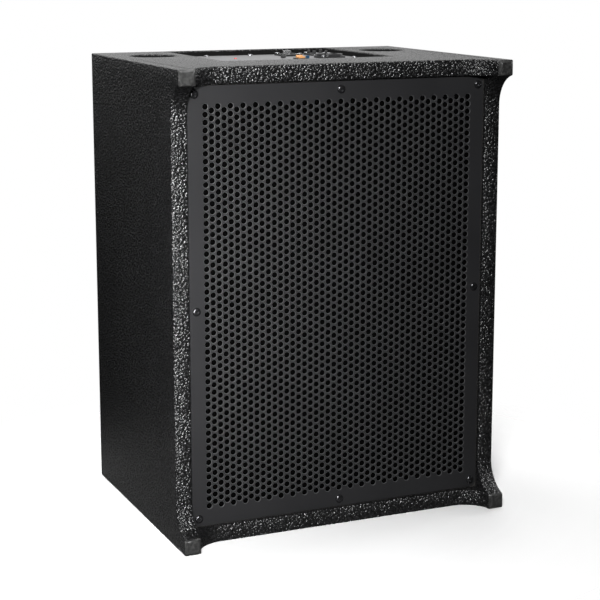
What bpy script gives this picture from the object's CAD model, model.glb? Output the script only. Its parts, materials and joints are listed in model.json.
import json
import math

import bmesh
import bpy
from mathutils import Matrix, Vector, noise


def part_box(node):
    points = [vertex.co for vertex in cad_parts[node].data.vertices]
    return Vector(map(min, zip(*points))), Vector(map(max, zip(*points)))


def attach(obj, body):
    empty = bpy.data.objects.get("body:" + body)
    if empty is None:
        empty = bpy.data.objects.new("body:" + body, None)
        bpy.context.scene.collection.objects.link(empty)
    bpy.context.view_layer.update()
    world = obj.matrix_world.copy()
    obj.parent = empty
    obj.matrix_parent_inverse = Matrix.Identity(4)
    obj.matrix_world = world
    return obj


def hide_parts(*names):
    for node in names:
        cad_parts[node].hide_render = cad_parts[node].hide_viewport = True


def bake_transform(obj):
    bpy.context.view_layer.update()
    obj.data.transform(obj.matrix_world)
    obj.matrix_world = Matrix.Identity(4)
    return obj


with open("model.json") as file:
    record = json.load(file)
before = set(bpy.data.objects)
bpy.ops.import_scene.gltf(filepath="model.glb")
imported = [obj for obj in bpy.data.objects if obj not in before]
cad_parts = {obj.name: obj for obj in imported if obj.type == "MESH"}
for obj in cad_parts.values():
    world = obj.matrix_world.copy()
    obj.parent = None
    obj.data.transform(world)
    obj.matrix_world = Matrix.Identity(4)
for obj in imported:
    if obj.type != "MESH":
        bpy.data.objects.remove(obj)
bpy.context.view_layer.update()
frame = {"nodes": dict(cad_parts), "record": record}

# Looks of an active stage monitor: painted plywood, a perforated steel grille and a recessed
# connector plate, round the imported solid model. Metres; lengths below in millimetres use MM.
MM = 0.001
# Points closer than WELD are one point; a place within NEAR of a plane is on it
WELD = 1e-7
NEAR = 1e-5
CABINET = "cabinet"
nodes = frame["nodes"]


# ---------- camera ----------

CAMERA_AT = (-0.7270, -1.6581, 0.6151)
CAMERA_AZIMUTH = -23.817
CAMERA_ELEVATION = 10.795
CAMERA_LENS = 97.05
CAMERA_SHIFT_Y = -0.06


def make_camera():
    data = bpy.data.cameras.new("camera")
    data.lens = CAMERA_LENS
    data.shift_y = CAMERA_SHIFT_Y
    data.clip_start = 0.05
    camera = bpy.data.objects.new("camera", data)
    bpy.context.scene.collection.objects.link(camera)
    a, e = math.radians(CAMERA_AZIMUTH), math.radians(CAMERA_ELEVATION)
    forward = Vector((-math.sin(a) * math.cos(e), math.cos(a) * math.cos(e), -math.sin(e)))
    camera.location = CAMERA_AT
    camera.rotation_mode = "QUATERNION"
    camera.rotation_quaternion = forward.to_track_quat("-Z", "Y")
    bpy.context.scene.camera = camera


make_camera()


# ---------- materials ----------

class Shader:
    """A material with one Principled shader, and short ways to feed it."""

    def __init__(self, name):
        self.material = bpy.data.materials.new(name)
        self.material.use_nodes = True
        self.tree = self.material.node_tree
        self.principled = self.tree.nodes["Principled BSDF"]
        self.place = self.tree.nodes.new("ShaderNodeTexCoord").outputs["Object"]

    def set(self, **values):
        for key, value in values.items():
            self.principled.inputs[key.replace("_", " ")].default_value = value
        return self

    def node(self, kind, **settings):
        made = self.tree.nodes.new(kind)
        for key, value in settings.items():
            setattr(made, key, value)
        return made

    def link(self, output, target):
        self.tree.links.new(output, target)

    def noise(self, grain, detail=2.0, roughness=0.5, place=None):
        """Noise whose features are about grain metres across."""
        made = self.node("ShaderNodeTexNoise")
        made.inputs["Scale"].default_value = 1.0 / grain
        made.inputs["Detail"].default_value = detail
        made.inputs["Roughness"].default_value = roughness
        self.link(place or self.place, made.inputs["Vector"])
        return made.outputs["Fac"]

    def cells(self, grain, smooth=0.6):
        made = self.node("ShaderNodeTexVoronoi", feature="SMOOTH_F1")
        made.inputs["Scale"].default_value = 1.0 / grain
        made.inputs["Smoothness"].default_value = smooth
        self.link(self.place, made.inputs["Vector"])
        return made.outputs["Distance"]

    def spread(self, value, low, high, low_in=0.3, high_in=0.7):
        """value, stretched from low_in..high_in to low..high."""
        made = self.node("ShaderNodeMapRange")
        self.link(value, made.inputs["Value"])
        for key, number in (("From Min", low_in), ("From Max", high_in), ("To Min", low), ("To Max", high)):
            made.inputs[key].default_value = number
        return made.outputs["Result"]

    def add(self, a, b, share=1.0):
        scaled = self.node("ShaderNodeMath", operation="MULTIPLY")
        self.link(b, scaled.inputs[0])
        scaled.inputs[1].default_value = share
        total = self.node("ShaderNodeMath", operation="ADD")
        self.link(a, total.inputs[0])
        self.link(scaled.outputs[0], total.inputs[1])
        return total.outputs[0]

    def mix(self, factor, first, second):
        """Colour between first and second. Either may be a colour or a socket."""
        made = self.node("ShaderNodeMix", data_type="RGBA")
        self.link(factor, made.inputs["Factor"])
        for index, value in ((6, first), (7, second)):
            if isinstance(value, bpy.types.NodeSocket):
                self.link(value, made.inputs[index])
            else:
                made.inputs[index].default_value = (*value, 1.0)
        return made.outputs[2]

    def edges(self, low=0.52, high=0.62):
        """1 on convex edges, 0 elsewhere."""
        made = self.node("ShaderNodeNewGeometry")
        return self.spread(made.outputs["Pointiness"], 0.0, 1.0, low, high)

    def bump(self, height, depth, under=None):
        made = self.node("ShaderNodeBump")
        made.inputs["Distance"].default_value = depth
        self.link(height, made.inputs["Height"])
        if under is not None:
            self.link(under, made.inputs["Normal"])
        self.link(made.outputs["Normal"], self.principled.inputs["Normal"])
        return made.outputs["Normal"]

    def colour(self, socket):
        self.link(socket, self.principled.inputs["Base Color"])

    def roughness(self, socket):
        self.link(socket, self.principled.inputs["Roughness"])


def tone(colour, factor):
    return tuple(min(1.0, c * factor) for c in colour)


def surface(name, colour, rough, grain=1.2, depth=0.03, spread=0.25, metallic=0.0, worn=None, detail=3.0):
    """General finish: colour and roughness vary softly, with a fine grain and lighter worn edges."""
    s = Shader(name).set(Metallic=metallic)
    broad = s.noise(25 * MM, 3.0)
    fine = s.noise(grain * MM, detail, 0.6)
    base = s.mix(s.spread(broad, 0.0, 1.0), tone(colour, 1 - spread), tone(colour, 1 + spread))
    if worn:
        wear = s.node("ShaderNodeMath", operation="MULTIPLY")
        s.link(s.edges(), wear.inputs[0])
        s.link(s.spread(fine, 0.0, 1.0, 0.4, 0.7), wear.inputs[1])
        base = s.mix(wear.outputs[0], base, worn)
    s.colour(base)
    s.roughness(s.spread(fine, max(0.02, rough - 0.08), min(1.0, rough + 0.08)))
    s.bump(fine, depth * MM)
    return s.material


def structured_paint():
    """Black cabinet paint sprayed in coarse droplets, glossy on their tops, with scuffed edges."""
    s = Shader("structured_paint").set(IOR=1.5)
    droplets = s.cells(2.6 * MM, 0.25)
    pits = s.noise(1.8 * MM, 1.0, 0.5)
    broad = s.noise(60 * MM, 2.0)
    height = s.add(s.spread(droplets, 1.0, 0.0, 0.05, 0.8), s.spread(pits, 0.0, 1.0), 0.4)
    s.bump(height, 1.05 * MM)
    tops = s.mix(s.spread(broad, 0.0, 1.0), (0.012, 0.012, 0.013), (0.017, 0.017, 0.018))
    dark = s.mix(s.spread(height, 0.0, 1.0, 0.35, 1.1), (0.002, 0.002, 0.002), tops)
    wear = s.node("ShaderNodeMath", operation="MULTIPLY")
    s.link(s.edges(0.56, 0.68), wear.inputs[0])
    s.link(s.spread(pits, 0.0, 0.5, 0.45, 0.75), wear.inputs[1])
    s.colour(s.mix(wear.outputs[0], dark, (0.06, 0.058, 0.056)))
    s.roughness(s.spread(pits, 0.33, 0.23))
    return s.material


def powder_coat():
    """Satin black powder coat on the grille."""
    s = Shader("powder_coat")
    pebble = s.noise(0.9 * MM, 2.0, 0.5)
    broad = s.noise(80 * MM, 2.0)
    s.colour(s.mix(s.spread(broad, 0.0, 1.0), (0.010, 0.010, 0.011), (0.013, 0.013, 0.014)))
    s.roughness(s.spread(pebble, 0.38, 0.48))
    s.bump(pebble, 0.05 * MM)
    return s.material


def open_foam():
    """Black reticulated foam: small dark cells."""
    s = Shader("open_foam").set(Roughness=0.95, Specular_IOR_Level=0.02)
    pores = s.cells(1.6 * MM, 0.2)
    s.colour(s.mix(s.spread(pores, 0.0, 1.0, 0.1, 0.6), (0.0002, 0.0002, 0.0002), (0.001, 0.001, 0.001)))
    s.bump(pores, 0.9 * MM)
    return s.material


def brushed_sheet(name, colour, rough, along=(1.0, 0.04, 1.0)):
    """Sheet metal with fine lines along one way."""
    s = Shader(name).set(Metallic=0.85)
    stretch = s.node("ShaderNodeMapping")
    stretch.inputs["Scale"].default_value = along
    s.link(s.place, stretch.inputs["Vector"])
    lines = s.noise(0.5 * MM, 4.0, 0.7, stretch.outputs["Vector"])
    s.colour(s.mix(s.spread(lines, 0.0, 1.0), tone(colour, 0.85), tone(colour, 1.15)))
    s.roughness(s.spread(lines, rough - 0.07, rough + 0.09))
    s.bump(lines, 0.01 * MM)
    return s.material


def plywood():
    """Raw birch with long grain."""
    s = Shader("plywood").set(Roughness=0.6)
    stretch = s.node("ShaderNodeMapping")
    stretch.inputs["Scale"].default_value = (0.08, 1.0, 1.0)
    s.link(s.place, stretch.inputs["Vector"])
    grain = s.noise(4 * MM, 6.0, 0.6, stretch.outputs["Vector"])
    s.colour(s.mix(s.spread(grain, 0.0, 1.0), (0.50, 0.36, 0.21), (0.68, 0.53, 0.34)))
    s.bump(grain, 0.1 * MM)
    return s.material


def wadding():
    """Matted grey fibres."""
    s = Shader("wadding").set(Roughness=1.0)
    fibres = s.noise(2.5 * MM, 8.0, 0.75)
    clumps = s.noise(18 * MM, 3.0)
    s.colour(s.mix(s.spread(fibres, 0.0, 1.0), (0.16, 0.16, 0.155), (0.42, 0.42, 0.40)))
    s.bump(s.add(fibres, clumps, 2.0), 2.0 * MM)
    return s.material


def woven(name, colour, thread=0.8):
    """Plain weave for the spider and the surround."""
    s = Shader(name).set(Roughness=0.8)
    heights = []
    for direction in ("X", "Z"):
        wave = s.node("ShaderNodeTexWave", bands_direction=direction)
        wave.inputs["Scale"].default_value = 0.16 / (thread * MM)
        s.link(s.place, wave.inputs["Vector"])
        heights.append(wave.outputs["Fac"])
    weave = s.add(*heights)
    s.colour(s.mix(s.spread(weave, 0.0, 1.0, 0.2, 1.8), tone(colour, 0.6), tone(colour, 1.2)))
    s.bump(weave, 0.15 * MM)
    return s.material


def wound_wire():
    """Turns of enamelled copper round the driver's axis."""
    s = Shader("wound_wire").set(Metallic=0.9)
    wave = s.node("ShaderNodeTexWave", bands_direction="Y")
    wave.inputs["Scale"].default_value = 160
    s.link(s.place, wave.inputs["Vector"])
    s.colour(s.mix(wave.outputs["Fac"], (0.30, 0.11, 0.04), (0.72, 0.34, 0.15)))
    s.roughness(s.spread(wave.outputs["Fac"], 0.45, 0.25, 0.0, 1.0))
    s.bump(wave.outputs["Fac"], 0.2 * MM)
    return s.material


def circuit_board():
    """Green solder mask with pale pads and darker tracks."""
    s = Shader("circuit_board").set(Roughness=0.35)
    tracks = s.node("ShaderNodeTexVoronoi", distance="CHEBYCHEV")
    tracks.inputs["Scale"].default_value = 260
    s.link(s.place, tracks.inputs["Vector"])
    lines = s.spread(tracks.outputs["Distance"], 0.0, 1.0, 0.25, 0.35)
    green = s.mix(lines, (0.012, 0.10, 0.045), (0.03, 0.19, 0.09))
    pads = s.spread(tracks.outputs["Distance"], 1.0, 0.0, 0.04, 0.08)
    s.colour(s.mix(pads, green, (0.62, 0.60, 0.55)))
    s.bump(tracks.outputs["Distance"], 0.08 * MM)
    return s.material


def lens(name, colour, glow):
    """Moulded translucent plastic, faintly lit from inside."""
    s = Shader(name).set(IOR=1.49)
    haze = s.noise(1.5 * MM, 3.0)
    s.colour(s.mix(s.spread(haze, 0.0, 1.0), tone(colour, 0.93), tone(colour, 1.05)))
    s.roughness(s.spread(haze, 0.22, 0.3))
    s.bump(haze, 0.02 * MM)
    s.set(Emission_Color=(*colour, 1.0), Emission_Strength=glow)
    return s.material


paint = structured_paint()
cut_wall = surface("cut_wall", (0.004, 0.004, 0.004), 0.75, 1.5, 0.05)
cut_wall.node_tree.nodes["Principled BSDF"].inputs["Specular IOR Level"].default_value = 0.12
tip_paint = surface("tip_paint", (0.014, 0.014, 0.014), 0.38, 2.4, 0.16, 0.2, 0.0, (0.09, 0.09, 0.088))
rim_coat = surface("rim_coat", (0.095, 0.097, 0.10), 0.4, 0.9, 0.03, 0.15)
coat = powder_coat()
DARK = (0.022, 0.022, 0.023)
finish = {
    "cabinet_paint": paint,
    "baffle_paint": surface("baffle_paint", (0.02, 0.019, 0.017), 0.7, 2.5, 0.15),
    "plywood": plywood(),
    "wadding": wadding(),
    "grille_coat": coat,
    "foam": open_foam(),
    "black_steel": surface("black_steel", (0.05, 0.05, 0.053), 0.2, 0.8, 0.006, 0.2, 0.85, (0.3, 0.3, 0.31)),
    "cast_frame": surface("cast_frame", (0.05, 0.05, 0.053), 0.5, 1.4, 0.12, 0.25, 0.2, (0.25, 0.25, 0.25)),
    "gasket": surface("gasket", (0.012, 0.012, 0.012), 0.85, 1.0, 0.08),
    "terminal_block": surface("terminal_block", (0.42, 0.03, 0.025), 0.4, 0.8, 0.02),
    "cone_paper": surface("cone_paper", (0.028, 0.028, 0.029), 0.75, 2.2, 0.25, 0.4),
    "surround_cloth": woven("surround_cloth", (0.02, 0.02, 0.02)),
    "spider_cloth": woven("spider_cloth", (0.55, 0.38, 0.13)),
    "former": surface("former", (0.45, 0.30, 0.14), 0.5, 1.0, 0.03),
    "copper_wire": wound_wire(),
    "motor_steel": brushed_sheet("motor_steel", (0.42, 0.43, 0.44), 0.35),
    "ferrite": surface("ferrite", (0.03, 0.03, 0.032), 0.55, 0.9, 0.05),
    "horn_plastic": surface(
        "horn_plastic", (0.014, 0.014, 0.015), 0.5, 0.8, 0.05, 0.2, 0.0, (0.05, 0.05, 0.05)),
    "cast_alloy": surface("cast_alloy", (0.42, 0.43, 0.44), 0.45, 1.6, 0.06, 0.15, 0.9, (0.7, 0.7, 0.7)),
    "magnet_nickel": surface("magnet_nickel", (0.55, 0.55, 0.56), 0.2, 3.0, 0.01, 0.1, 1.0),
    "diaphragm_metal": surface("diaphragm_metal", (0.6, 0.6, 0.62), 0.3, 2.0, 0.02, 0.1, 1.0),
    "plate_coat": surface("plate_coat", (0.22, 0.22, 0.225), 0.6, 0.7, 0.012, 0.08),
    "bright_screw": surface("bright_screw", (0.30, 0.30, 0.31), 0.28, 0.7, 0.01, 0.12, 1.0, (0.7, 0.7, 0.7)),
    "circuit_board": circuit_board(),
    "transformer_tape": surface("transformer_tape", (0.62, 0.46, 0.06), 0.4, 3.0, 0.04),
    "capacitor_sleeve": surface("capacitor_sleeve", (0.03, 0.035, 0.06), 0.3, 2.0, 0.02),
    "red_lead": surface("red_lead", (0.35, 0.02, 0.015), 0.45, 1.0, 0.02),
    "black_lead": surface("black_lead", (0.02, 0.02, 0.02), 0.45, 1.0, 0.02),
    "connector_metal": surface("connector_metal", DARK, 0.38, 1.0, 0.008, 0.2, 0.3, (0.10, 0.10, 0.10)),
    "latch_metal": surface("latch_metal", (0.80, 0.80, 0.81), 0.22, 2.0, 0.004, 0.06, 0.9),
    "gold_contact": surface("gold_contact", (0.78, 0.58, 0.24), 0.25, 0.8, 0.01, 0.1, 1.0),
    "contact_metal": surface("contact_metal", (0.7, 0.7, 0.71), 0.3, 0.8, 0.01, 0.1, 1.0),
    "amber": lens("amber", (0.62, 0.30, 0.11), 0.02),
    "knob_plastic": surface(
        "knob_plastic", (0.018, 0.018, 0.019), 0.42, 0.5, 0.04, 0.2, 0.0, (0.07, 0.07, 0.07)),
    "blue": surface("blue", (0.012, 0.045, 0.095), 0.3, 0.8, 0.02, 0.15),
    "red_lens": lens("red_lens", (0.62, 0.03, 0.02), 0.4),
}


# ---------- mesh helpers ----------

def mesh_object(name, bm, slot, body, replaced, smooth_angle=35.0):
    """Turns bm into a finished piece that stands for the replaced CAD nodes. A piece to blend has no body."""
    mesh = bpy.data.meshes.new(name)
    bmesh.ops.recalc_face_normals(bm, faces=bm.faces)
    bm.to_mesh(mesh)
    bm.free()
    piece = bpy.data.objects.new(name, mesh)
    bpy.context.scene.collection.objects.link(piece)
    mesh.polygons.foreach_set("use_smooth", [True] * len(mesh.polygons))
    mesh.set_sharp_from_angle(angle=math.radians(smooth_angle))
    mesh.materials.append(finish[slot])
    if body:
        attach(piece, body)
    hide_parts(*replaced)
    return piece


def prism(outline, axis, low, high):
    """Straight body with a flat outline. Outline points are the two coordinates that aren't axis."""
    bm = bmesh.new()

    def place(point, along):
        u, v = point
        return {"x": (along, u, v), "y": (u, along, v), "z": (u, v, along)}[axis]

    first = [bm.verts.new(place(p, low)) for p in outline]
    second = [bm.verts.new(place(p, high)) for p in outline]
    bm.faces.new(first)
    bm.faces.new(second)
    for i in range(len(outline)):
        j = (i + 1) % len(outline)
        bm.faces.new((first[i], first[j], second[j], second[i]))
    bmesh.ops.recalc_face_normals(bm, faces=bm.faces)
    return bm


def lathe(profile, segments=48, closed=True):
    """Body of revolution about Z: profile points are (radius, height); closed joins last to first."""
    bm = bmesh.new()
    rings = []
    for radius, height in profile:
        if radius < 1e-9:
            rings.append([bm.verts.new((0, 0, height))])
        else:
            rings.append([
                bm.verts.new((radius * math.cos(t), radius * math.sin(t), height))
                for t in (2 * math.pi * i / segments for i in range(segments))
            ])
    pairs = list(zip(rings, rings[1:]))
    if closed:
        pairs.append((rings[-1], rings[0]))
    for a, b in pairs:
        if len(a) == 1 and len(b) == 1:
            continue
        for i in range(segments):
            j = (i + 1) % segments
            corners = [a[i % len(a)], a[j % len(a)], b[j % len(b)], b[i % len(b)]]
            bm.faces.new(list(dict.fromkeys(corners)))
    bmesh.ops.recalc_face_normals(bm, faces=bm.faces)
    return bm


def moved(bm, matrix):
    bmesh.ops.transform(bm, matrix=matrix, verts=bm.verts)
    return bm


def joined(parts):
    """One bmesh with copies of all the parts."""
    whole = bmesh.new()
    for part in parts:
        mesh = bpy.data.meshes.new("part")
        part.to_mesh(mesh)
        whole.from_mesh(mesh)
        bpy.data.meshes.remove(mesh)
        part.free()
    return whole


def copies(bm, matrices):
    """One bmesh with bm repeated under each matrix."""
    mesh = bpy.data.meshes.new("part")
    bm.to_mesh(mesh)
    bm.free()
    whole = bmesh.new()
    for matrix in matrices:
        one = mesh.copy()
        one.transform(matrix)
        whole.from_mesh(one)
        bpy.data.meshes.remove(one)
    bpy.data.meshes.remove(mesh)
    return whole


def cut(bm, *cutters):
    """bm with each cutter taken away by an exact boolean."""
    objects = []
    for part in (bm, *cutters):
        mesh = bpy.data.meshes.new("cut")
        part.to_mesh(mesh)
        part.free()
        holder = bpy.data.objects.new("cut", mesh)
        bpy.context.scene.collection.objects.link(holder)
        objects.append(holder)
    for cutter in objects[1:]:
        modifier = objects[0].modifiers.new("cut", "BOOLEAN")
        modifier.operation = "DIFFERENCE"
        modifier.solver = "EXACT"
        modifier.object = cutter
    graph = bpy.context.evaluated_depsgraph_get()
    result = bpy.data.meshes.new_from_object(objects[0].evaluated_get(graph))
    made = bmesh.new()
    made.from_mesh(result)
    bpy.data.meshes.remove(result)
    for holder in objects:
        mesh = holder.data
        bpy.data.objects.remove(holder)
        bpy.data.meshes.remove(mesh)
    bmesh.ops.remove_doubles(made, verts=made.verts, dist=WELD)
    return made


def round_edges(bm, radius, wanted, segments=3, sharpest=20.0):
    """Rounds the edges that are sharper than an angle and for which wanted(middle) is true."""
    bm.normal_update()
    edges = [
        e for e in bm.edges
        if len(e.link_faces) == 2
        and e.calc_face_angle(0) > math.radians(sharpest)
        and wanted((e.verts[0].co + e.verts[1].co) / 2)
    ]
    bmesh.ops.bevel(
        bm, geom=edges, offset=radius, offset_type="OFFSET", segments=segments,
        profile=0.5, affect="EDGES", clamp_overlap=False,
    )
    return bm


def slice_off(bm, at, outward):
    """Cuts away what lies beyond a plane and closes the cut."""
    made = bmesh.ops.bisect_plane(
        bm, geom=[*bm.verts, *bm.edges, *bm.faces], dist=WELD,
        plane_co=at, plane_no=outward, clear_outer=True)
    edges = [e for e in made["geom_cut"] if isinstance(e, bmesh.types.BMEdge)]
    bmesh.ops.holes_fill(bm, edges=edges, sides=0)
    bmesh.ops.recalc_face_normals(bm, faces=bm.faces)


def soften(node, width, segments=2, angle=30.0):
    """Rounds a CAD node's edges a little with modifiers."""
    piece = nodes[node]
    weld = piece.modifiers.new("weld", "WELD")
    weld.merge_threshold = 2e-6
    bevel = piece.modifiers.new("bevel", "BEVEL")
    bevel.width = width * MM
    bevel.segments = segments
    bevel.limit_method = "ANGLE"
    bevel.angle_limit = math.radians(angle)
    bevel.use_clamp_overlap = True
    bevel.harden_normals = True


def box_of(node):
    low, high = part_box(node)
    return Vector(low), Vector(high)


# ---------- cabinet ----------

side_low, side_high = box_of("left_side")
top_low, top_high = box_of("top_panel")
HALF_W = -side_low.x
HALF_D = side_high.y
HEIGHT = side_high.z
PANEL = side_high.x - side_low.x
INNER_X = HALF_W - PANEL
SETBACK = 28.7 * MM
FILLET_R = 34 * MM
FILLET_START = 50 * MM
FILLET_STEPS = 14
EDGE_Y = -HALF_D + SETBACK
EDGE_ROUND = 1.3 * MM
TIP_BEVEL = 3 * MM


def front_edge(half_length, limit=None):
    """Points (along, y) of a panel's front edge from -half_length to +half_length.

    limit cuts the edge off at +-limit, for the panels that fit between the sides."""
    reach = math.acos(1 - SETBACK / FILLET_R)
    end = half_length if limit is None else limit
    centre = half_length - FILLET_START
    arc = []
    for i in range(FILLET_STEPS + 1):
        t = reach * i / FILLET_STEPS
        along = centre + FILLET_R * math.sin(t)
        if along < end - 1e-6:
            arc.append((along, EDGE_Y - FILLET_R * (1 - math.cos(t))))
    if limit is None:
        arc.append((end, -HALF_D))
    else:
        t = math.asin((end - centre) / FILLET_R)
        arc.append((end, EDGE_Y - FILLET_R * (1 - math.cos(t))))
    return [(-a, y) for a, y in reversed(arc)] + arc


def paint_faces(piece, material, wanted):
    """Gives the faces whose centres are wanted a second material."""
    piece.data.materials.append(material)
    for face in piece.data.polygons:
        if wanted(face.center):
            face.material_index = 1


def side_panel(sign):
    """Side with rounded edges all round, left square where another panel meets it."""
    middle = HEIGHT / 2
    outline = [(y, middle + along) for along, y in front_edge(middle)]
    outline += [(HALF_D, HEIGHT), (HALF_D, 0.0)]
    low, high = sorted((sign * INNER_X, sign * HALF_W))
    bm = prism(outline, "x", low, high)
    # Flat bevels on the tips' outer, inner and end edges
    bevel_y = -HALF_D + TIP_BEVEL
    for x, y, z, way in (
        (low, bevel_y, 0, (-1, -1, 0)), (high, bevel_y, 0, (1, -1, 0)),
        (low, bevel_y, HEIGHT, (0, -1, 1)), (low, bevel_y, 0, (0, -1, -1)),
    ):
        slice_off(bm, (x, y, z), way)
    # Split the long edges where the top and bottom panels butt against the side
    for z in (PANEL, HEIGHT - PANEL):
        bmesh.ops.bisect_plane(
            bm, geom=[*bm.verts, *bm.edges, *bm.faces], dist=WELD, plane_co=(0, 0, z), plane_no=(0, 0, 1))

    def wanted(p):
        inside = abs(abs(p.x) - INNER_X) < NEAR
        return not inside or (PANEL < p.z < HEIGHT - PANEL and p.y < EDGE_Y + 10 * NEAR)

    round_edges(bm, EDGE_ROUND, wanted, sharpest=50.0)
    name = "left_side" if sign < 0 else "right_side"
    piece = mesh_object(f"{name}_painted", bm, "cabinet_paint", CABINET, [name])
    # The paint lies flatter on the tips' ends
    paint_faces(piece, tip_paint, lambda c: c.y < bevel_y)
    return piece


def between_panel(low, high):
    """Outline body of the top or bottom panel, between the sides."""
    outline = [(along, y) for along, y in front_edge(HALF_W, INNER_X)]
    outline += [(INNER_X, HALF_D), (-INNER_X, HALF_D)]
    return prism(outline, "z", low, high)


def bottom_panel():
    bm = between_panel(0.0, PANEL)

    def wanted(p):
        if abs(abs(p.x) - INNER_X) < NEAR:
            return False
        return p.z < NEAR or p.y < EDGE_Y + 10 * NEAR

    round_edges(bm, EDGE_ROUND, wanted)
    return mesh_object("bottom_panel_painted", bm, "cabinet_paint", CABINET, ["bottom_panel"])


def cylinder(radius, low, high, x, y, segments=64):
    bm = lathe([(0, low), (radius, low), (radius, high), (0, high)], segments, closed=False)
    return moved(bm, Matrix.Translation((x, y, 0)))


def slab(x0, x1, y0, y1, low, high):
    return prism([(x0, y0), (x1, y0), (x1, y1), (x0, y1)], "z", low, high)


plate_low, plate_high = box_of("connector_plate")
seal_low = box_of("recess_seal")[0]
chassis_low, chassis_high = box_of("amplifier_chassis")
port_low, port_high = box_of("port_tube_right")
PORT_X = (port_low.x + port_high.x) / 2
PORT_Y = (port_low.y + port_high.y) / 2
PORT_R = 26.5 * MM
RECESS_GAP = 0.5 * MM
RECESS_LOW = plate_low - Vector((RECESS_GAP, RECESS_GAP, 0))
RECESS_HIGH = plate_high + Vector((RECESS_GAP, RECESS_GAP, 0))
WINDOW_GAP = 1.5 * MM
OVERCUT = 5 * MM
TUBE_GAP = 0.05 * MM
TOP_ROUND = 1.5 * MM
# The dull wall of a cut starts this far below the top face and reaches this far past its bore
CUT_DEPTH = 1.2 * MM
CUT_REACH = 0.4 * MM
FLOOR_Z = plate_high.z


def top_panel():
    """Top with its port holes, the connector recess and the window that the amplifier hangs in."""
    bm = between_panel(top_low.z, top_high.z)
    over = top_high.z + OVERCUT
    under = top_low.z - OVERCUT
    cutters = [
        slab(RECESS_LOW.x, RECESS_HIGH.x, RECESS_LOW.y, RECESS_HIGH.y, seal_low.z, over),
        slab(
            chassis_low.x - WINDOW_GAP, chassis_high.x + WINDOW_GAP,
            chassis_low.y - WINDOW_GAP, chassis_high.y + WINDOW_GAP, under, over),
    ]
    for sign in (-1, 1):
        cutters.append(cylinder(PORT_R, under, over, sign * PORT_X, PORT_Y))
        cutters.append(cylinder(
            port_high.x - PORT_X + TUBE_GAP, under, port_high.z, sign * PORT_X, PORT_Y))
    bm = cut(bm, *cutters)

    def wanted(p):
        if abs(abs(p.x) - INNER_X) < NEAR:
            return False
        return p.z > top_high.z - NEAR or p.y < EDGE_Y + 10 * NEAR

    round_edges(bm, TOP_ROUND, wanted, sharpest=40.0)
    piece = mesh_object("top_panel_painted", bm, "cabinet_paint", CABINET, ["top_panel"])

    def in_cut(c):
        in_recess = all(RECESS_LOW[i] - 10 * NEAR < c[i] < RECESS_HIGH[i] + 10 * NEAR for i in (0, 1))
        in_port = math.hypot(abs(c.x) - PORT_X, c.y - PORT_Y) < PORT_R + CUT_REACH
        return (in_recess or in_port) and c.z < top_high.z - CUT_DEPTH

    paint_faces(piece, cut_wall, in_cut)
    return piece


def back_panel():
    low, high = box_of("back_panel")
    bm = slab(low.x, high.x, low.y, high.y, low.z, high.z)
    bmesh.ops.subdivide_edges(bm, edges=bm.edges, cuts=3, use_grid_fill=True)
    return mesh_object("back_panel_painted", bm, "cabinet_paint", CABINET, ["back_panel"])


for sign in (-1, 1):
    side_panel(sign)
bottom_panel()
top_panel()
back_panel()


# ---------- grille ----------

HOLE_PITCH = 8 * MM
HOLE_R = 3.2 * MM
HOLE_SIDES = 16
HOLE_CHAMFER = 0.25 * MM
COLUMN_STEP = HOLE_PITCH * math.sqrt(3) / 2
HALF_COLUMNS = 22
COLUMN_HOLES = 54
RIM_SHALLOW = 0.01 * MM
RIM_DEEP = 0.2 * MM
GRILLE_CORNER = 9 * MM
GRILLE_EDGE = 0.5 * MM
CORNER_STEPS = 8


def rounded_outline(half_w, half_h, radius, steps=CORNER_STEPS):
    """Points anticlockwise from the right-hand side's lower end, with each corner's middle point kept."""
    points = []
    for turn, (sx, sy) in enumerate(((1, 1), (-1, 1), (-1, -1), (1, -1))):
        cx, cy = sx * (half_w - radius), sy * (half_h - radius)
        for i in range(steps + 1):
            t = math.radians(90 * turn) + math.radians(90) * i / steps
            points.append((cx + radius * math.cos(t), cy + radius * math.sin(t)))
    return points


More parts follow.
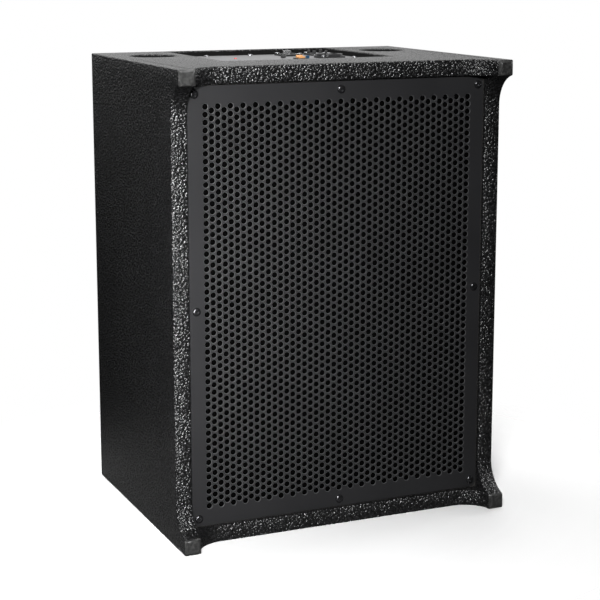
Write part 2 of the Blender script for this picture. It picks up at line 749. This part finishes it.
def grille_sheet():
    """Steel sheet with a staggered field of round holes, each with a softened rim."""
    low, high = box_of("grille")
    centre_x, centre_z = (low.x + high.x) / 2, (low.z + high.z) / 2
    front, back = low.y, high.y
    verts, faces = [], []
    half_step = HOLE_PITCH / 2
    rows = COLUMN_HOLES
    grid = {}

    def vert(x, y, z):
        verts.append((centre_x + x, y, centre_z + z))
        return len(verts) - 1

    def grid_vert(line, row, y):
        """Point of the grid between the cells: line counts columns, row counts half pitches."""
        key = (line, row, y)
        if key not in grid:
            grid[key] = vert((line - HALF_COLUMNS - 0.5) * COLUMN_STEP, y, row * half_step)
        return grid[key]

    # Where each cell's six grid points fall between the hole's sides
    spans = [(0, 2), (2, 6), (6, 8), (8, 10), (10, 14), (14, 16)]
    for column in range(2 * HALF_COLUMNS + 1):
        holes = COLUMN_HOLES - (column - HALF_COLUMNS) % 2
        x = (column - HALF_COLUMNS) * COLUMN_STEP
        for k in range(holes):
            row = 2 * k - (holes - 1)
            z = row * half_step
            corners = [
                (column + 1, row), (column + 1, row + 1), (column, row + 1),
                (column, row), (column, row - 1), (column + 1, row - 1),
            ]
            rings = []
            for radius, y in (
                (HOLE_R + HOLE_CHAMFER, front),
                (HOLE_R + 0.4 * HOLE_CHAMFER, front + 0.3 * HOLE_CHAMFER), (HOLE_R, front + HOLE_CHAMFER),
                (HOLE_R, back - HOLE_CHAMFER), (HOLE_R + HOLE_CHAMFER, back),
            ):
                rings.append([
                    vert(x + radius * math.cos(t), y, z + radius * math.sin(t))
                    for t in (2 * math.pi * i / HOLE_SIDES for i in range(HOLE_SIDES))
                ])
            for y, ring, flip in ((front, rings[0], False), (back, rings[-1], True)):
                for s, (start, end) in enumerate(spans):
                    a = grid_vert(*corners[s], y)
                    b = grid_vert(*corners[(s + 1) % 6], y)
                    inner = [ring[i % HOLE_SIDES] for i in range(end, start - 1, -1)]
                    face = [a, b, *inner]
                    faces.append(face[::-1] if flip else face)
            for outer, inner in zip(rings, rings[1:]):
                for i in range(HOLE_SIDES):
                    j = (i + 1) % HOLE_SIDES
                    faces.append([outer[i], outer[j], inner[j], inner[i]])
        if holes < rows:
            for end_row in (-rows, rows - 1):
                for y, flip in ((front, False), (back, True)):
                    face = [
                        grid_vert(column, end_row, y), grid_vert(column + 1, end_row, y),
                        grid_vert(column + 1, end_row + 1, y), grid_vert(column, end_row + 1, y),
                    ]
                    faces.append(face[::-1] if flip else face)

    # Margin round the field, out to the rounded edge of the sheet
    half_w, half_h = (high.x - low.x) / 2, (high.z - low.z) / 2
    loops = []
    for inset, y in ((GRILLE_EDGE, front), (0, front + GRILLE_EDGE), (0, back)):
        loops.append([
            vert(u, y, v) for u, v in rounded_outline(half_w - inset, half_h - inset, GRILLE_CORNER - inset)
        ])
    for outer, inner in zip(loops, loops[1:]):
        for i in range(len(outer)):
            j = (i + 1) % len(outer)
            faces.append([outer[j], outer[i], inner[i], inner[j]])
    last = 2 * HALF_COLUMNS + 1
    count = len(loops[0])
    per_corner = CORNER_STEPS + 1
    middle = CORNER_STEPS // 2
    for y, outline, flip in ((front, loops[0], False), (back, loops[-1], True)):
        field = [
            [grid_vert(i, rows, y) for i in range(last, -1, -1)],
            [grid_vert(0, r, y) for r in range(rows, -rows - 1, -1)],
            [grid_vert(i, -rows, y) for i in range(last + 1)],
            [grid_vert(last, r, y) for r in range(-rows, rows + 1)],
        ]
        for turn, inner in enumerate(field):
            start = turn * per_corner + middle
            outer = [outline[(start + i) % count] for i in range(per_corner + 1)]
            face = [*outer, *inner[::-1]]
            faces.append(face[::-1] if flip else face)

    mesh = bpy.data.meshes.new("grille_perforated")
    mesh.from_pydata(verts, [], faces)
    mesh.validate()
    bm = bmesh.new()
    bm.from_mesh(mesh)
    bpy.data.meshes.remove(mesh)
    piece = mesh_object("grille_perforated", bm, "grille_coat", CABINET, ["grille"], 30.0)
    # The coat is thin and pale on the punched rims
    paint_faces(piece, rim_coat, lambda c: RIM_SHALLOW < c.y - front < RIM_DEEP)
    return piece


grille_sheet()


# ---------- screws ----------

def recess_star(radius, low, high, lobes=6):
    """Six-lobed bit recess as a prism along Z."""
    steps = lobes * 6
    outline = []
    for i in range(steps):
        t = 2 * math.pi * i / steps
        r = radius * (1 + 0.16 * math.cos(lobes * t))
        outline.append((r * math.cos(t), r * math.sin(t)))
    return prism(outline, "z", low, high)


def pan_head(head_r, head_h, segments=40):
    """Domed head with its seat at Z 0 and its top at head_h."""
    steps = 8
    profile = [(0, 0), (head_r * 0.93, 0), (head_r, head_h * 0.12), (head_r, head_h * 0.28)]
    for i in range(1, steps + 1):
        t = math.radians(90) * i / steps
        profile.append((head_r * (0.25 + 0.75 * math.cos(t)), head_h * (0.28 + 0.72 * math.sin(t))))
    profile.append((0, head_h))
    bm = lathe(profile, segments, closed=False)
    return cut(bm, recess_star(head_r * 0.42, head_h * 0.42, head_h * 1.5))


def screw(head_r, head_h, shank_r, length):
    """Pan-head screw pointing down Z, with its shank let a little way into the head."""
    let_in = 0.1 * MM
    profile = [
        (0, -length), (shank_r * 0.7, -length), (shank_r, -length + shank_r),
        (shank_r, let_in), (0, let_in),
    ]
    return joined([pan_head(head_r, head_h), lathe(profile, 20, closed=False)])


def screws(name, node, places, head_r, head_h, shank_r, length, outward, slot):
    """All the screws of one node: outward is the way that the heads face."""
    turn = Vector(outward).to_track_quat("Z", "Y").to_matrix().to_4x4()
    spots = []
    for i, place in enumerate(places):
        # Each screw stopped at a turn of its own
        spin = Matrix.Rotation(math.radians(23 + 37 * i), 4, "Z")
        spots.append(Matrix.Translation(place) @ turn @ spin)
    bm = copies(screw(head_r, head_h, shank_r, length), spots)
    return mesh_object(name, bm, slot, CABINET, [node], 32.0)


# Head radius, head height, shank radius and length of each kind
GRILLE_SCREW = (4.5 * MM, 2.8 * MM, 2 * MM, 18 * MM)
PLATE_SCREW = (3 * MM, 1.8 * MM, 1.5 * MM, 8 * MM)
CONNECTOR_SCREW = (2.8 * MM, 1.6 * MM, 1.5 * MM, 8 * MM)
PLATE_INNER_X = 55 * MM
PLATE_MIDDLE_Y = 51.5 * MM
FLANGE_SCREW_X = 9.5 * MM
FLANGE_SCREW_Y = 12 * MM
FLANGE_THICK = 2 * MM


def grille_screws():
    """One at each corner of the grille and one in the middle of each side."""
    low, high = box_of("grille_screws")
    head_r = GRILLE_SCREW[0]
    seat_y = box_of("grille")[0].y
    reach_x = high.x - head_r
    reach_z = (high.z - low.z) / 2 - head_r
    middle_z = (low.z + high.z) / 2
    places = [(i * reach_x, seat_y, middle_z + j * reach_z)
              for i in (-1, 0, 1) for j in (-1, 0, 1) if i or j]
    screws("grille_screws_pan", "grille_screws", places, *GRILLE_SCREW, (0, -1, 0), "black_steel")


def plate_screws():
    """Five along the plate's front, five along its back and one on each side."""
    low, high = box_of("plate_screws")
    head_r = PLATE_SCREW[0]
    side_x = high.x - head_r
    rows = (low.y + head_r, high.y - head_r)
    places = [(x, y, FLOOR_Z)
              for x in (-side_x, -PLATE_INNER_X, 0, PLATE_INNER_X, side_x) for y in rows]
    places += [(-side_x, PLATE_MIDDLE_Y, FLOOR_Z), (side_x, PLATE_MIDDLE_Y, FLOOR_Z)]
    screws("plate_screws_pan", "plate_screws", places, *PLATE_SCREW, (0, 0, 1), "bright_screw")


def connector_screws():
    """Two in each connector's flange, on opposite corners."""
    places = []
    for node, turned in (("xlr_input", False), ("xlr_link", False), ("power_inlet", True)):
        low, high = box_of(node)
        x, y = (low.x + high.x) / 2, (low.y + high.y) / 2
        du, dv = (FLANGE_SCREW_Y, FLANGE_SCREW_X) if turned else (FLANGE_SCREW_X, -FLANGE_SCREW_Y)
        places += [(x + way * du, y + way * dv, FLOOR_Z + FLANGE_THICK) for way in (-1, 1)]
    screws("connector_screws_pan", "connector_screws", places, *CONNECTOR_SCREW, (0, 0, 1), "bright_screw")


grille_screws()
plate_screws()
connector_screws()


# ---------- soft pieces ----------

def puffed(low, high, bulge, ripple, grain, cuts=14):
    """Soft block inside low..high: rounded corners, sides that swell a little and an uneven surface."""
    bm = bmesh.new()
    bmesh.ops.create_cube(bm, size=2.0)
    bmesh.ops.subdivide_edges(bm, edges=bm.edges, cuts=cuts, use_grid_fill=True)
    middle, half = (low + high) / 2, (high - low) / 2
    for vert in bm.verts:
        flat = vert.co.copy()
        round_off = Vector(c * math.sqrt(1 - bulge * (flat[(i + 1) % 3] ** 2 + flat[(i + 2) % 3] ** 2) / 2)
                           for i, c in enumerate(flat))
        spot = middle + Vector(a * b for a, b in zip(round_off, half))
        dent = ripple * (0.5 + 0.5 * noise.noise(spot / grain))
        inward = Vector(-a * min(1.0, dent / max(b, 1e-6)) for a, b in zip(round_off, half))
        vert.co = middle + Vector((a + c) * b for a, b, c in zip(round_off, half, inward))
    return bm


def lining_pads():
    """Three pads of wadding: one on each side and one on the back."""
    low, high = box_of("lining")
    thick = 20 * MM
    back_half = 145 * MM
    side_end = min(high.y - thick - 0.1 * MM, 110 * MM)
    boxes = [
        ((low.x, low.y, low.z), (low.x + thick, side_end, high.z)),
        ((high.x - thick, low.y, low.z), (high.x, side_end, high.z)),
        ((-back_half, high.y - thick, low.z), (back_half, high.y, high.z)),
    ]
    pads = [puffed(Vector(a), Vector(b), 0.35, 3 * MM, 30 * MM) for a, b in boxes]
    mesh_object("lining_pads", joined(pads), "wadding", CABINET, ["lining"], 80.0)


def foam_sheet():
    """Thin sheet behind the grille, with a softly uneven face."""
    low, high = box_of("grille_foam")
    bm = puffed(low, high, 0.004, 0.6 * MM, 25 * MM, 24)
    mesh_object("foam_sheet", bm, "foam", CABINET, ["grille_foam"], 80.0)


def along_driver(bm):
    """Turns a body of revolution about Z onto the woofer's axis, with its heights along Y."""
    low, high = box_of("surround")
    place = Matrix.Translation((0, 0, (low.z + high.z) / 2)) @ Matrix.Rotation(math.radians(-90), 4, "X")
    return moved(bm, place)


RING_STEPS = 96


def sector(profile, index, sectors):
    """Part of a body of revolution between two angles, closed at both ends."""
    bm = bmesh.new()
    rings = []
    steps = RING_STEPS // sectors
    for i in range(steps + 1):
        t = 2 * math.pi * (index + i / steps) / sectors
        rings.append([bm.verts.new((r * math.cos(t), r * math.sin(t), h)) for r, h in profile])
    for a, b in zip(rings, rings[1:]):
        for i in range(len(profile)):
            j = (i + 1) % len(profile)
            bm.faces.new((a[i], a[j], b[j], b[i]))
    bm.faces.new(rings[0])
    bm.faces.new(rings[-1][::-1])
    bmesh.ops.recalc_face_normals(bm, faces=bm.faces)
    return bm


def flexing_ring(name, node, slot, profile, sectors):
    """Ring in sectors, each bending from its fixed outer edge to its inner edge on the cone."""
    for index in range(sectors):
        piece = mesh_object(
            f"{name}_{index + 1:02d}", along_driver(sector(profile, index, sectors)),
            slot, None, [node], 50.0)
        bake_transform(piece)


def surround():
    """Half roll of treated cloth with a flat lip on each side."""
    low, high = box_of("surround")
    thick = 0.8 * MM
    roll = high.y - low.y
    outer = high.x
    middle = outer - roll
    steps = 14
    over = [(middle - roll * math.cos(math.pi * i / steps), high.y - roll * math.sin(math.pi * i / steps))
            for i in range(steps + 1)]
    under = [(middle - (roll - thick) * math.cos(math.pi * i / steps),
              high.y - (roll - thick) * math.sin(math.pi * i / steps)) for i in range(steps, -1, -1)]
    flexing_ring("surround_cloth", "surround", "surround_cloth", over + under, 24)


def spider():
    """Corrugated cloth disc that centres the coil, flat where it is glued down."""
    low, high = box_of("spider")
    cone_low, cone_high = box_of("coil_former")
    inner = (cone_high.x - cone_low.x) / 2
    outer, ledge, thick = high.x, 5 * MM, 0.7 * MM
    wave = high.y - low.y - thick
    waves, steps = 5, 60
    front = []
    for i in range(steps + 1):
        share = i / steps
        front.append((inner + share * (outer - ledge - inner),
                      low.y + wave * (0.5 - 0.5 * math.cos(2 * math.pi * waves * share))))
    front.append((outer, low.y))
    back = [(r, h + thick) for r, h in reversed(front)]
    flexing_ring("spider_cloth", "spider", "spider_cloth", front + back, 12)


lining_pads()
foam_sheet()
surround()
spider()


# ---------- the rest keeps its CAD shape, softened and finished ----------

SOFT_EDGES = {
    "xlr_input": 0.35, "xlr_link": 0.35, "power_inlet": 0.35,
    "xlr_insert": 0.25, "xlr_latch": 0.5, "switch_bezel": 0.3, "switch_rocker": 0.35,
    "level_knob": 0.2, "preset_button": 0.35, "status_light": 0.3, "link_pins": 0.3,
    "driver_basket": 0.8, "driver_gasket": 0.3, "hf_cover": 0.8, "hf_housing": 0.8,
    "port_tube_left": 0.4, "port_tube_right": 0.4,
    "transformer": 0.8, "capacitors": 0.9, "heat_sink": 0.3, "ring_magnet": 1.0, "yoke": 0.8,
    "front_plate": 0.8,
}
slot_of = {part["node"]: part["material_slot"] for part in frame["record"]["subparts"]}
for node, piece in nodes.items():
    piece.data.materials.clear()
    piece.data.materials.append(finish[slot_of[node]])
    if node in SOFT_EDGES:
        soften(node, SOFT_EDGES[node])


# ---------- floor, backdrop and light ----------

def make_floor():
    """Pale disc that fades out into the white surround, between fade_from and fade_to."""
    fade_from, fade_to = 0.26, 0.48
    bm = lathe([(0, 0), (0.45, 0), (0.9, 0), (1.6, 0), (2.6, 0)], 96, closed=False)
    mesh = bpy.data.meshes.new("floor")
    bm.to_mesh(mesh)
    bm.free()
    floor = bpy.data.objects.new("floor", mesh)
    bpy.context.scene.collection.objects.link(floor)
    s = Shader("floor_pale")
    # Pale to look at, with a dimmer bounce onto the cabinet
    s.set(Roughness=0.8)
    path = s.node("ShaderNodeLightPath")
    s.colour(s.mix(path.outputs["Is Camera Ray"], (0.10, 0.10, 0.10), (0.93, 0.93, 0.93)))
    clear = s.node("ShaderNodeBsdfTransparent")
    distance = s.node("ShaderNodeVectorMath", operation="LENGTH")
    s.link(s.place, distance.inputs[0])
    blend = s.node("ShaderNodeMixShader")
    s.link(s.spread(distance.outputs["Value"], 0.0, 1.0, fade_from, fade_to), blend.inputs[0])
    s.link(s.principled.outputs[0], blend.inputs[1])
    s.link(clear.outputs[0], blend.inputs[2])
    output = next(n for n in s.tree.nodes if n.type == "OUTPUT_MATERIAL")
    s.link(blend.outputs[0], output.inputs["Surface"])
    mesh.materials.append(s.material)
    floor.location.z = -0.3 * MM


BACKDROP_WAY = (0.42, 0.90, 0.16)


def make_world():
    """White where the camera looks, a lit backdrop behind the object and a dim room elsewhere."""
    world = bpy.data.worlds.new("studio")
    bpy.context.scene.world = world
    world.use_nodes = True
    tree = world.node_tree
    tree.nodes.clear()
    new, link = tree.nodes.new, tree.links.new
    place = new("ShaderNodeTexCoord")
    towards = new("ShaderNodeVectorMath")
    towards.operation = "DOT_PRODUCT"
    towards.inputs[1].default_value = Vector(BACKDROP_WAY).normalized()
    link(place.outputs["Generated"], towards.inputs[0])
    ramp = new("ShaderNodeMapRange")
    ramp.interpolation_type = "SMOOTHSTEP"
    for key, number in (("From Min", 0.84), ("From Max", 0.98), ("To Min", 0.02), ("To Max", 0.75)):
        ramp.inputs[key].default_value = number
    link(towards.outputs["Value"], ramp.inputs["Value"])
    lighting = new("ShaderNodeBackground")
    link(ramp.outputs["Result"], lighting.inputs["Strength"])
    lighting.inputs["Color"].default_value = (1, 1, 1, 1)
    seen = new("ShaderNodeBackground")
    seen.inputs["Color"].default_value = (1, 1, 1, 1)
    seen.inputs["Strength"].default_value = 1.0
    path = new("ShaderNodeLightPath")
    choose = new("ShaderNodeMixShader")
    link(path.outputs["Is Camera Ray"], choose.inputs[0])
    link(lighting.outputs[0], choose.inputs[1])
    link(seen.outputs[0], choose.inputs[2])
    output = new("ShaderNodeOutputWorld")
    link(choose.outputs[0], output.inputs["Surface"])


def softbox(name, at, target, size, power, spread=180):
    """Rectangular lamp: its power is in watts and its spread in degrees."""
    data = bpy.data.lights.new(name, "AREA")
    data.shape = "RECTANGLE"
    data.size, data.size_y = size
    data.energy = power
    data.spread = math.radians(spread)
    lamp = bpy.data.objects.new(name, data)
    bpy.context.scene.collection.objects.link(lamp)
    lamp.location = at
    lamp.rotation_mode = "QUATERNION"
    lamp.rotation_quaternion = (Vector(target) - Vector(at)).to_track_quat("-Z", "Y")
    lamp.visible_camera = False


make_floor()
make_world()
CENTRE = (0, 0, HEIGHT / 2)
# The key is aimed left of the cabinet, so the grille darkens to the right
softbox("key", (-0.65, -1.35, 1.0), (-0.35, -0.1, 0.3), (0.3, 0.3), 10.2, 80)
softbox("strip_left", (-0.60, -0.80, 0.30), (-0.20, -0.12, 0.27), (0.15, 0.4), 0.6, 30)
softbox("overhead", (0.1, 0.5, 2.2), CENTRE, (1.2, 1.2), 24)
softbox("side_right", (2.4, 0.6, 1.2), CENTRE, (0.9, 1.4), 22)
softbox("behind", (-0.5, 1.6, 2.0), CENTRE, (0.8, 0.8), 12)
softbox("rim_left", (-0.6, 2.3, 1.1), CENTRE, (1.0, 1.0), 2.5)
bpy.context.scene.view_settings.view_transform = "Standard"
